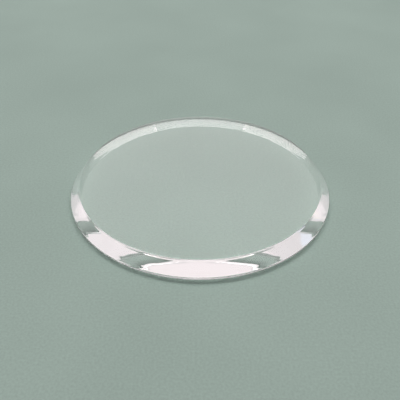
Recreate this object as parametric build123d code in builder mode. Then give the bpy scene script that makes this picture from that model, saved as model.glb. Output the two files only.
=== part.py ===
import os

from build123d import *

# Watch crystal: one round, flat, clear plate, ground from a single blank of mineral glass.
# The top face is flat, and a wide steep bevel, very slightly crowned by its polishing, runs
# all round it. Below the bevel a low upright rim is what a case or its gasket grips. The
# underside is flat, and bevelled all round its edge so that the plate starts easily in its
# seat.
# Millimetres, +Z up. The origin is the centre of the underside, on the plate's axis.

# Size of the plate
outer_diameter = 29
thickness = 2

# The upper bevel: how far it comes in over the top face, how high its lower end lies on the
# side, and how far its middle stands out from a straight cone
bevel_width = 1.1
bevel_foot_height = 0.65
bevel_crown = 0.02

# The dressed edges above, which keep the corners from chipping
top_edge_radius = 0.2
rim_edge_width = 0.05

# The lower bevel, as wide on the underside as it is high on the side
lower_bevel_width = 0.45

outer_radius = outer_diameter / 2
top_face_radius = outer_radius - bevel_width

def round_edges(piece):
    """The round edges of the piece, lowest first."""
    return piece.edges().filter_by(GeomType.CIRCLE).sort_by(Axis.Z)

with BuildPart() as crystal:
    # Half of the plate's outline, from its axis out and back, turned about the axis
    with BuildSketch(Plane.XZ):
        with BuildLine():
            Line((0, 0), (outer_radius, 0))
            Line((outer_radius, 0), (outer_radius, bevel_foot_height))
            SagittaArc((outer_radius, bevel_foot_height), (top_face_radius, thickness), -bevel_crown)
            Line((top_face_radius, thickness), (0, thickness))
            Line((0, thickness), (0, 0))
        make_face()
    revolve(axis=Axis.Z)

    # The dressed edges: the top face's rounded one, then the rim's upper corner
    fillet(round_edges(crystal)[-1], radius=top_edge_radius)
    chamfer(round_edges(crystal)[1], length=rim_edge_width)

    # The lower bevel
    chamfer(round_edges(crystal)[0], length=lower_bevel_width)

crystal.part.label = "crystal"

os.makedirs("parts", exist_ok=True)
export_step(crystal.part, "parts/crystal.step")
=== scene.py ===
import math

import bpy
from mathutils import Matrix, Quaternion, Vector


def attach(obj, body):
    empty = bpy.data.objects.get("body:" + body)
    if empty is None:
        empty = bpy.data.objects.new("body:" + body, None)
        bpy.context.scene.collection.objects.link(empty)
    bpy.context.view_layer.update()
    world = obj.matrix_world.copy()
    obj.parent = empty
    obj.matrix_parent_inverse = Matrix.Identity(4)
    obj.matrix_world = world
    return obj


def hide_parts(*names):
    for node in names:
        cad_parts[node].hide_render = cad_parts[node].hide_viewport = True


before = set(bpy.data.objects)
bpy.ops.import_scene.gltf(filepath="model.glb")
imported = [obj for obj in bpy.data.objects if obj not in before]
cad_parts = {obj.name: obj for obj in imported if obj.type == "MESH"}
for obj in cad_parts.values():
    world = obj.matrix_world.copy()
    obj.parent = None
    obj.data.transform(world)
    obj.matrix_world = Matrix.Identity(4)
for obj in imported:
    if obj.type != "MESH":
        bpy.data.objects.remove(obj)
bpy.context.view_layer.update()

# A watch crystal: one round, flat, clear plate with a steep bevel round its top face, on a pale mat.
# Lengths are in metres.

# Sizes of the crystal, as the part has them
RADIUS = 0.0145
THICKNESS = 0.002
BEVEL_WIDTH = 0.0011
BEVEL_FOOT = 0.00065
BEVEL_CROWN = 0.00002
ARRIS_RADIUS = 0.0002
RIM_EDGE = 0.00005
LOWER_BEVEL = 0.00045

# How finely the round faces are drawn, and up to what angle, in degrees, the shading runs on from
# one face to the next. Narrow margins beside a sharp or rounded edge keep the polished faces true.
SIDES = 720
BEVEL_STEPS = 14
ARRIS_STEPS = 10
MARGIN = 0.00002
SMOOTH_ANGLE = 16

# Clear soda-lime mineral glass
GLASS_COLOUR = (1, 1, 1, 1)
GLASS_IOR = 1.515

# The ground rim and lower bevel: how softly they end, the size of their grain and of the patches
# that are cut deeper, and their roughness between those patches and in them
FADE = 0.00001
GRAIN = 0.00007
GRAIN_DETAIL = 3
PATCH = 12 * GRAIN
GROUND_ROUGHNESS = (0.86, 1.0)

# The polished bevel: how far up it has been eased at its foot, the length round the edge and the
# width up the side of the waves in it, and how shallow they are, as a share of the deepest
EASING = 0.0003
WAVE_LENGTH = 0.004
WAVE_WIDTH = 0.0006
SHALLOW_WAVE = 0.65

# The relief of both, and how many times its depth the waves and the grain stand
RELIEF = 0.000004
WAVE_HEIGHT = 1.8
GRAIN_HEIGHT = 0.6

# Dust on the top face: how far apart its places are, the size of a speck, how many of the places
# hold one, and its roughness
DUST_SPACING = 0.0016
DUST_SIZE = 0.000035
DUST_SHARE = 0.12
DUST_ROUGHNESS = 0.3

# The mat, on which the crystal rests with a hair of air under it
MAT_WIDTH = 4.0
AIR_GAP = 0.00003

# Its two tones of pale sage, and how much its fine grain and its slow changes of tone mix them
MAT_DARK = (0.40, 0.515, 0.458, 1)
MAT_LIGHT = (0.48, 0.615, 0.548, 1)
MAT_GRAIN = 0.00022
MAT_GRAIN_DETAIL = 4
MAT_TONE = 0.018
GRAIN_WEIGHT = 0.65
TONE_WEIGHT = 0.35
TONES_FROM, TONES_TO = 0.35, 0.65

# Its pale specks, its roughness in the hollows and on the grain, its dull gloss and its relief
FLECK_COLOUR = (0.8, 0.84, 0.81, 1)
FLECK_SPACING = 0.009
FLECK_SIZE = 0.00016
FLECK_SHARE = 0.3
MAT_ROUGHNESS = (0.68, 0.82)
MAT_GLOSS = 0.25
MAT_RELIEF = 0.00001

# A noise lies mostly between these two values
NOISE_LOW, NOISE_HIGH = 0.3, 0.7
# The share of a speck's size that is solid before it fades
SPECK_CORE = 0.6

# How far off the lamps stand, the room's faint light, and how pale its walls look, where 1 is white
LAMP_DISTANCE = 1.0
ROOM_LIGHT = 0.1
WALL_PALENESS = 0.66
WHITE = (1, 1, 1, 1)

# The camera stands close over the crystal and looks down on it from the front. NEARNESS is the
# plate's radius as a share of the camera's distance.
LOOK_DOWN = math.radians(36.82)
NEARNESS = 0.228
PIXELS_PER_RADIUS = 127.05
# Where the rim's lower edge has its centre in the picture, and how high it lies
CENTRE_X, CENTRE_Y = 200.04, 186.7
CENTRE_HEIGHT = LOWER_BEVEL
IMAGE = 400
SENSOR = 36
NEAREST_SEEN = 0.001

# How often light may bounce in all, and in the glass
BOUNCES = 40
GLASS_BOUNCES = 32


def deselect_all():
    """Nothing is selected, in object mode."""
    if bpy.context.object and bpy.context.object.mode != "OBJECT":
        bpy.ops.object.mode_set(mode="OBJECT")
    bpy.ops.object.select_all(action="DESELECT")


def on_circle(centre, radius, angle):
    return centre + Vector((math.cos(angle), math.sin(angle))) * radius


def outline():
    """The crystal's outline from the underside up to its top face, as points of radius and height."""
    foot = Vector((RADIUS, BEVEL_FOOT))
    arris = Vector((RADIUS - BEVEL_WIDTH, THICKNESS))
    chord = arris - foot
    outward = Vector((chord.y, -chord.x)).normalized()
    bend = chord.length_squared / (8 * BEVEL_CROWN) + BEVEL_CROWN / 2
    centre = (foot + arris) / 2 - outward * (bend - BEVEL_CROWN)
    foot_angle = math.atan2(foot.y - centre.y, foot.x - centre.x)

    # The rounded arris touches the crowned bevel and the top face
    arris_height = THICKNESS - ARRIS_RADIUS
    rise = arris_height - centre.y
    arris_centre = Vector((centre.x + math.sqrt((bend - ARRIS_RADIUS) ** 2 - rise ** 2), arris_height))
    arris_angle = math.atan2(arris_centre.y - centre.y, arris_centre.x - centre.x)

    # The bevel begins above the rim's dressed corner
    corner_angle = foot_angle + RIM_EDGE / bend
    begin = corner_angle + MARGIN / bend
    end = arris_angle - MARGIN / bend
    points = [
        Vector((RADIUS - LOWER_BEVEL, 0)),
        Vector((RADIUS, LOWER_BEVEL)),
        Vector((RADIUS, BEVEL_FOOT - RIM_EDGE)),
        on_circle(centre, bend, corner_angle),
    ]
    for step in range(BEVEL_STEPS + 1):
        points.append(on_circle(centre, bend, begin + (end - begin) * step / BEVEL_STEPS))
    for step in range(ARRIS_STEPS + 1):
        angle = arris_angle + (math.pi / 2 - arris_angle) * step / ARRIS_STEPS
        points.append(on_circle(arris_centre, ARRIS_RADIUS, angle))
    return points


def model_crystal():
    """The plate, drawn upwards ring by ring from its underside."""
    points = outline()
    deselect_all()
    bpy.ops.mesh.primitive_circle_add(
        vertices=SIDES, radius=points[0].x, fill_type="NGON", location=(0, 0, 0))
    piece = bpy.context.object
    piece.name = piece.data.name = "crystal_glass"
    bpy.ops.object.mode_set(mode="EDIT")
    bpy.ops.mesh.select_mode(type="FACE")
    bpy.ops.mesh.select_all(action="SELECT")
    for now, following in zip(points, points[1:]):
        bpy.ops.mesh.extrude_region_move(TRANSFORM_OT_translate={"value": (0, 0, following.y - now.y)})
        scale = following.x / now.x
        bpy.ops.transform.resize(value=(scale, scale, 1), center_override=(0, 0, 0))
    bpy.ops.mesh.inset(thickness=MARGIN, depth=0)
    bpy.ops.mesh.select_all(action="SELECT")
    bpy.ops.mesh.normals_make_consistent(inside=False)
    bpy.ops.object.mode_set(mode="OBJECT")
    bpy.ops.object.shade_smooth_by_angle(angle=math.radians(SMOOTH_ANGLE))
    return piece


def new_material(name):
    """A node material, and its Principled shader."""
    material = bpy.data.materials.new(name)
    material.use_nodes = True
    return material, material.node_tree.nodes["Principled BSDF"]


def new_group(name, **outputs):
    """A node group with the named outputs, each given as its kind, and the node that collects them."""
    tree = bpy.data.node_groups.new(name, "ShaderNodeTree")
    for label, kind in outputs.items():
        tree.interface.new_socket(label, in_out="OUTPUT", socket_type="NodeSocket" + kind)
    return tree, tree.nodes.new("NodeGroupOutput")


def use_group(material, tree):
    """The outputs of the group, placed in the material."""
    node = material.node_tree.nodes.new("ShaderNodeGroup")
    node.node_tree = tree
    return node.outputs


def calculate(tree, operation, first, second=0.0):
    """The result of one sum. first and second are sockets or numbers."""
    node = tree.nodes.new("ShaderNodeMath")
    node.operation = operation
    for socket, value in zip(node.inputs, (first, second)):
        if isinstance(value, (int, float)):
            socket.default_value = value
        else:
            tree.links.new(value, socket)
    return node.outputs[0]


def add(tree, first, second):
    return calculate(tree, "ADD", first, second)


def multiply(tree, first, second):
    return calculate(tree, "MULTIPLY", first, second)


def remap(tree, value, low, high, low_result=0.0, high_result=1.0):
    """value taken smoothly from low and high to the two results, and held beyond them."""
    node = tree.nodes.new("ShaderNodeMapRange")
    node.interpolation_type = "SMOOTHSTEP"
    tree.links.new(value, node.inputs["Value"])
    node.inputs["From Min"].default_value = low
    node.inputs["From Max"].default_value = high
    node.inputs["To Min"].default_value = low_result
    node.inputs["To Max"].default_value = high_result
    return node.outputs["Result"]


def place_on_piece(tree):
    """Where a point lies on its piece."""
    return tree.nodes.new("ShaderNodeTexCoord").outputs["Object"]


def split(tree, vector):
    """The three parts of a vector."""
    node = tree.nodes.new("ShaderNodeSeparateXYZ")
    tree.links.new(vector, node.inputs[0])
    return node.outputs


def noise(tree, vector, scale, detail=2.0):
    """A soft cloudy noise, finer with a larger scale."""
    node = tree.nodes.new("ShaderNodeTexNoise")
    tree.links.new(vector, node.inputs["Vector"])
    node.inputs["Scale"].default_value = scale
    node.inputs["Detail"].default_value = detail
    return node.outputs["Fac"]


def specks(tree, vector, spacing, size, share):
    """Small round specks, far apart: 1 on a speck, 0 off it. share is how many of the places hold one."""
    node = tree.nodes.new("ShaderNodeTexVoronoi")
    tree.links.new(vector, node.inputs["Vector"])
    node.inputs["Scale"].default_value = 1 / spacing
    chance = tree.nodes.new("ShaderNodeSeparateColor")
    tree.links.new(node.outputs["Color"], chance.inputs[0])
    chosen = calculate(tree, "LESS_THAN", chance.outputs[0], share)
    dot = remap(tree, node.outputs["Distance"], SPECK_CORE * size / spacing, size / spacing, 1, 0)
    return multiply(tree, dot, chosen)


def ground_faces(tree, across, z):
    """1 on the rim and the lower bevel, which are ground, and 0 on the polished faces."""
    inner = RADIUS - LOWER_BEVEL
    top = BEVEL_FOOT - RIM_EDGE
    outside = remap(tree, across, inner - FADE, inner + FADE)
    below = remap(tree, z, top - FADE, top + FADE, 1, 0)
    return multiply(tree, outside, below)


def polish_waves(tree, x, y, z, across):
    """Faint long waves in the bevel, from a polish that has eased its foot and its rounded edge."""
    round_the_edge = tree.nodes.new("ShaderNodeCombineXYZ")
    for part, socket in zip((x, y), round_the_edge.inputs):
        turned = calculate(tree, "DIVIDE", part, across)
        tree.links.new(multiply(tree, turned, RADIUS / WAVE_LENGTH), socket)
    tree.links.new(multiply(tree, z, 1 / WAVE_WIDTH), round_the_edge.inputs[2])
    waves = remap(tree, noise(tree, round_the_edge.outputs[0], 1, 1), 0, 1, SHALLOW_WAVE, 1)
    above_foot = remap(tree, z, BEVEL_FOOT - RIM_EDGE, BEVEL_FOOT + EASING)
    below_arris = remap(tree, z, THICKNESS - ARRIS_RADIUS, THICKNESS - ARRIS_RADIUS / 2, 1, 0)
    return multiply(tree, waves, multiply(tree, above_foot, below_arris))


def settled_dust(tree, place, z):
    """Specks of dust on the top face."""
    on_top = remap(tree, z, THICKNESS - FADE, THICKNESS - FADE / 2)
    return multiply(tree, specks(tree, place, DUST_SPACING, DUST_SIZE, DUST_SHARE), on_top)


def glass_finish():
    """How the glass is finished: fine-ground at the rim and the lower bevel, polished elsewhere."""
    tree, result = new_group("glass_finish", Roughness="Float", Height="Float")
    place = place_on_piece(tree)
    x, y, z = split(tree, place)
    across = calculate(tree, "SQRT", add(tree, multiply(tree, x, x), multiply(tree, y, y)))

    # The ground faces have a fine grain, with patches cut a little deeper
    grain = noise(tree, place, 1 / GRAIN, GRAIN_DETAIL)
    patches = remap(tree, noise(tree, place, 1 / PATCH), NOISE_LOW, NOISE_HIGH, *GROUND_ROUGHNESS)
    cut = multiply(tree, ground_faces(tree, across, z), patches)

    dust = multiply(tree, settled_dust(tree, place, z), DUST_ROUGHNESS)
    tree.links.new(add(tree, cut, dust), result.inputs["Roughness"])
    waves = multiply(tree, polish_waves(tree, x, y, z, across), WAVE_HEIGHT)
    cuts = multiply(tree, multiply(tree, grain, cut), GRAIN_HEIGHT)
    tree.links.new(add(tree, waves, cuts), result.inputs["Height"])
    return tree


def mat_face():
    """The mat's face: a fine even grain, slow changes of tone and a few pale specks."""
    tree, result = new_group("mat_face", Color="Color", Roughness="Float", Height="Float")
    place = place_on_piece(tree)
    grain = noise(tree, place, 1 / MAT_GRAIN, MAT_GRAIN_DETAIL)
    tone = noise(tree, place, 1 / MAT_TONE)
    flecks = specks(tree, place, FLECK_SPACING, FLECK_SIZE, FLECK_SHARE)

    tones = tree.nodes.new("ShaderNodeValToRGB")
    dark, light = tones.color_ramp.elements
    dark.position, dark.color = TONES_FROM, MAT_DARK
    light.position, light.color = TONES_TO, MAT_LIGHT
    shade = add(tree, multiply(tree, grain, GRAIN_WEIGHT), multiply(tree, tone, TONE_WEIGHT))
    tree.links.new(shade, tones.inputs[0])

    # The flecks lie over the tones
    mix = tree.nodes.new("ShaderNodeMix")
    mix.data_type = "RGBA"
    tree.links.new(flecks, mix.inputs[0])
    tree.links.new(tones.outputs["Color"], mix.inputs[6])
    mix.inputs[7].default_value = FLECK_COLOUR
    tree.links.new(mix.outputs[2], result.inputs["Color"])

    roughness = remap(tree, grain, NOISE_LOW, NOISE_HIGH, *MAT_ROUGHNESS)
    tree.links.new(roughness, result.inputs["Roughness"])
    tree.links.new(add(tree, grain, flecks), result.inputs["Height"])
    return tree


def relief(material, shader, height, depth):
    """The material's shader takes its relief from height, a socket, at the given depth."""
    bump = material.node_tree.nodes.new("ShaderNodeBump")
    bump.inputs["Distance"].default_value = depth
    bump.inputs["Strength"].default_value = 1.0
    material.node_tree.links.new(height, bump.inputs["Height"])
    material.node_tree.links.new(bump.outputs["Normal"], shader.inputs["Normal"])


def glass_material():
    """Clear mineral glass, with its ground and polished faces."""
    material, shader = new_material("polished_mineral_glass")
    shader.inputs["Base Color"].default_value = GLASS_COLOUR
    shader.inputs["IOR"].default_value = GLASS_IOR
    shader.inputs["Transmission Weight"].default_value = 1.0
    finish = use_group(material, glass_finish())
    material.node_tree.links.new(finish["Roughness"], shader.inputs["Roughness"])
    relief(material, shader, finish["Height"], RELIEF)
    return material


def mat_material():
    """The dull pale face of the mat."""
    material, shader = new_material("mat_face")
    shader.inputs["Specular IOR Level"].default_value = MAT_GLOSS
    face = use_group(material, mat_face())
    material.node_tree.links.new(face["Color"], shader.inputs["Base Color"])
    material.node_tree.links.new(face["Roughness"], shader.inputs["Roughness"])
    relief(material, shader, face["Height"], MAT_RELIEF)
    return material


def lay_mat():
    """The mat that the crystal lies on."""
    deselect_all()
    bpy.ops.mesh.primitive_plane_add(size=MAT_WIDTH, location=(0, 0, -AIR_GAP))
    floor = bpy.context.object
    floor.name = floor.data.name = "mat"
    floor.data.materials.append(mat_material())


def softbox(name, bearing, lift, width, depth, radiance, colour=(1, 1, 1), roll=0):
    """A soft lamp that faces the crystal.

    bearing runs from straight behind the crystal to its right, and lift up from the mat. roll turns
    the lamp about the line to the crystal. All three are in degrees.
    """
    turn, rise = math.radians(bearing), math.radians(lift)
    towards = Vector((math.sin(turn) * math.cos(rise), math.cos(turn) * math.cos(rise), math.sin(rise)))
    lamp = bpy.data.lights.new(name, "AREA")
    lamp.shape = "RECTANGLE"
    lamp.size = width
    lamp.size_y = depth
    lamp.color = colour
    lamp.energy = radiance * math.pi * width * depth
    holder = bpy.data.objects.new(name, lamp)
    bpy.context.scene.collection.objects.link(holder)
    holder.location = towards * LAMP_DISTANCE
    aim = (-towards).to_track_quat("-Z", "Y") @ Quaternion((0, 0, 1), math.radians(roll))
    holder.rotation_euler = aim.to_euler()


def hang_lamps():
    """The lamps that the crystal shows, and the one that lights the mat."""
    # The wide one behind fills the front bevel. It is a little warm, and brighter in the middle and
    # at both sides. What the bevel's right side shows comes from the left, and the other way round.
    softbox("back_softbox", bearing=0, lift=38, width=2.6, depth=0.8, radiance=0.12,
            colour=(1, 0.70, 0.76))
    softbox("middle_softbox", bearing=0, lift=40, width=0.45, depth=0.4, radiance=0.17,
            colour=(1, 0.76, 0.78))
    softbox("right_softbox", bearing=29, lift=40, width=0.3, depth=0.4, radiance=0.10,
            colour=(1, 0.85, 0.88))
    for side in (-1, 1):
        softbox("side_softbox", bearing=side * 49, lift=38, width=0.17, depth=0.4, radiance=0.2,
                colour=(1, 0.85, 0.88))
    softbox("cool_softbox", bearing=-34, lift=40, width=0.08, depth=0.4, radiance=0.16,
            colour=(0.2, 0.6, 1))
    softbox("warm_softbox", bearing=-43, lift=40, width=0.07, depth=0.4, radiance=0.12,
            colour=(1, 0.7, 0.25))

    # The high ones, in an arch, light the bevel along the far edge
    softbox("high_softbox", bearing=0, lift=66, width=0.21, depth=0.15, radiance=2.9,
            colour=(1, 0.93, 0.94))
    for side in (-1, 1):
        softbox("high_side_softbox", bearing=side * 31, lift=56.5, width=0.38, depth=0.15, radiance=3.8,
                colour=(1, 0.9, 0.91), roll=side * 48)

    # The one overhead lights the mat. It begins where the high one ends, and is as bright, so that
    # the top face shows no stripe when it is seen from above.
    softbox("top_softbox", bearing=0, lift=82.6, width=1.4, depth=0.43, radiance=2.8)


def pale_room():
    """A faint even light, in a room whose walls look pale from the camera and in the glass."""
    room = bpy.data.worlds.new("room")
    room.use_nodes = True
    tree = room.node_tree
    light = tree.nodes["Background"]
    light.inputs["Color"].default_value = WHITE
    light.inputs["Strength"].default_value = ROOM_LIGHT
    walls = tree.nodes.new("ShaderNodeBackground")
    walls.inputs["Color"].default_value = WHITE
    walls.inputs["Strength"].default_value = WALL_PALENESS
    ray = tree.nodes.new("ShaderNodeLightPath").outputs
    seen = calculate(tree, "MAXIMUM", ray["Is Camera Ray"], ray["Is Glossy Ray"])
    seen = calculate(tree, "MAXIMUM", seen, ray["Is Transmission Ray"])
    mix = tree.nodes.new("ShaderNodeMixShader")
    tree.links.new(seen, mix.inputs[0])
    tree.links.new(light.outputs[0], mix.inputs[1])
    tree.links.new(walls.outputs[0], mix.inputs[2])
    tree.links.new(mix.outputs[0], tree.nodes["World Output"].inputs["Surface"])
    return room


def set_up_camera():
    """The camera, framed as the photograph is."""
    lens = bpy.data.cameras.new("camera")
    camera = bpy.data.objects.new("camera", lens)
    bpy.context.scene.collection.objects.link(camera)
    distance = RADIUS / NEARNESS
    camera.location = (0, -distance * math.cos(LOOK_DOWN), CENTRE_HEIGHT + distance * math.sin(LOOK_DOWN))
    camera.rotation_euler = (math.pi / 2 - LOOK_DOWN, 0, 0)
    lens.sensor_width = SENSOR
    lens.lens = PIXELS_PER_RADIUS / NEARNESS / IMAGE * SENSOR
    lens.shift_x = -(CENTRE_X - IMAGE / 2) / IMAGE
    lens.shift_y = (CENTRE_Y - IMAGE / 2) / IMAGE
    lens.clip_start = NEAREST_SEEN
    return camera


crystal = model_crystal()
crystal.data.materials.append(glass_material())
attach(crystal, "root")
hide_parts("crystal")

lay_mat()
hang_lamps()

scene = bpy.context.scene
scene.world = pale_room()
scene.camera = set_up_camera()
scene.view_settings.view_transform = "Standard"
scene.cycles.max_bounces = BOUNCES
scene.cycles.glossy_bounces = GLASS_BOUNCES
scene.cycles.transmission_bounces = GLASS_BOUNCES
